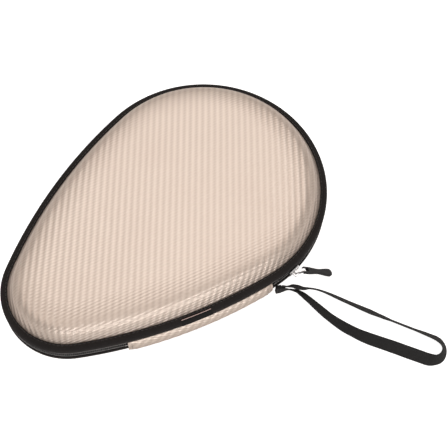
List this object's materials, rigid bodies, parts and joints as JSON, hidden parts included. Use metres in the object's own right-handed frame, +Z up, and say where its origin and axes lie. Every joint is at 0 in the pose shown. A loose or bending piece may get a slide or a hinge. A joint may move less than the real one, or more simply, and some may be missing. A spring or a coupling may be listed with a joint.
{
  "type": "table tennis paddle case",
  "caption": "Hard clamshell case for a table-tennis paddle, with embossed covers, a zip round the rim, a fabric spine hinge and a webbing wrist strap.",
  "frame": {"origin": "middle of the flat back face that the closed case rests on", "axes": "+X along the case towards the round head, +Z up through the front cover, spine hinge on the -Y flank"},
  "size_m": [0.29, 0.3266, 0.05],
  "materials": {
    "embossed_cover": "champagne coated fabric embossed with a slanting twill",
    "moulded_foam": "matt closed-cell foam",
    "lining_cloth": "brushed knit",
    "binding_tape": "woven tape",
    "zip_cloth": "woven herringbone tape",
    "zip_teeth": "nylon coil",
    "zip_metal": "bright nickel plate",
    "grip_rubber": "satin moulded rubber",
    "strap_webbing": "fine woven webbing",
    "label_cloth": "blank woven label",
    "elastic": "ribbed elastic"
  },
  "bodies": {
    "base": {"back_cover": "embossed_cover", "back_shell": "moulded_foam", "back_lining": "lining_cloth", "back_binding": "binding_tape", "back_zip_tape": "zip_cloth", "back_zip_coil": "zip_teeth", "zip_stops": "zip_metal", "spine_panel": "embossed_cover", "spine_lining": "lining_cloth", "strap_tack": "strap_webbing", "wrist_strap": "strap_webbing", "elastic_band": "elastic", "band_tacks": "elastic"},
    "lid": {"front_cover": "embossed_cover", "front_shell": "moulded_foam", "front_lining": "lining_cloth", "front_binding": "binding_tape", "front_zip_tape": "zip_cloth", "front_zip_coil": "zip_teeth", "woven_label": "label_cloth"},
    "slider": {"zip_slider": "zip_metal", "slider_bail": "zip_metal"},
    "link": {"pull_link": "zip_metal"},
    "puller": {"zip_pull": "grip_rubber"}
  },
  "joints": [
    {"name": "lid_hinge", "type": "hinge", "parent": "base", "child": "lid", "pos_m": [-0.0306, -0.0874, 0.025], "axis": [0.9558, -0.294, 0], "range_deg": [0, 170], "deforming": ["spine_panel"]},
    {"name": "slider_travel", "type": "hinge", "parent": "base", "child": "slider", "pos_m": [0.045, 0, 0.025], "axis": [0, 0, 1], "range_deg": [0, 175]},
    {"name": "link_swing", "type": "hinge", "parent": "slider", "child": "link", "pos_m": [0.0513, -0.10296, 0.025], "axis": [0, 0, 1], "range_deg": [-14, 28]},
    {"name": "pull_tilt", "type": "hinge", "parent": "link", "child": "puller", "pos_m": [0.05764, -0.10592, 0.025], "axis": [-0.4226, -0.9063, 0], "range_deg": [-18, 112]}
  ]
}
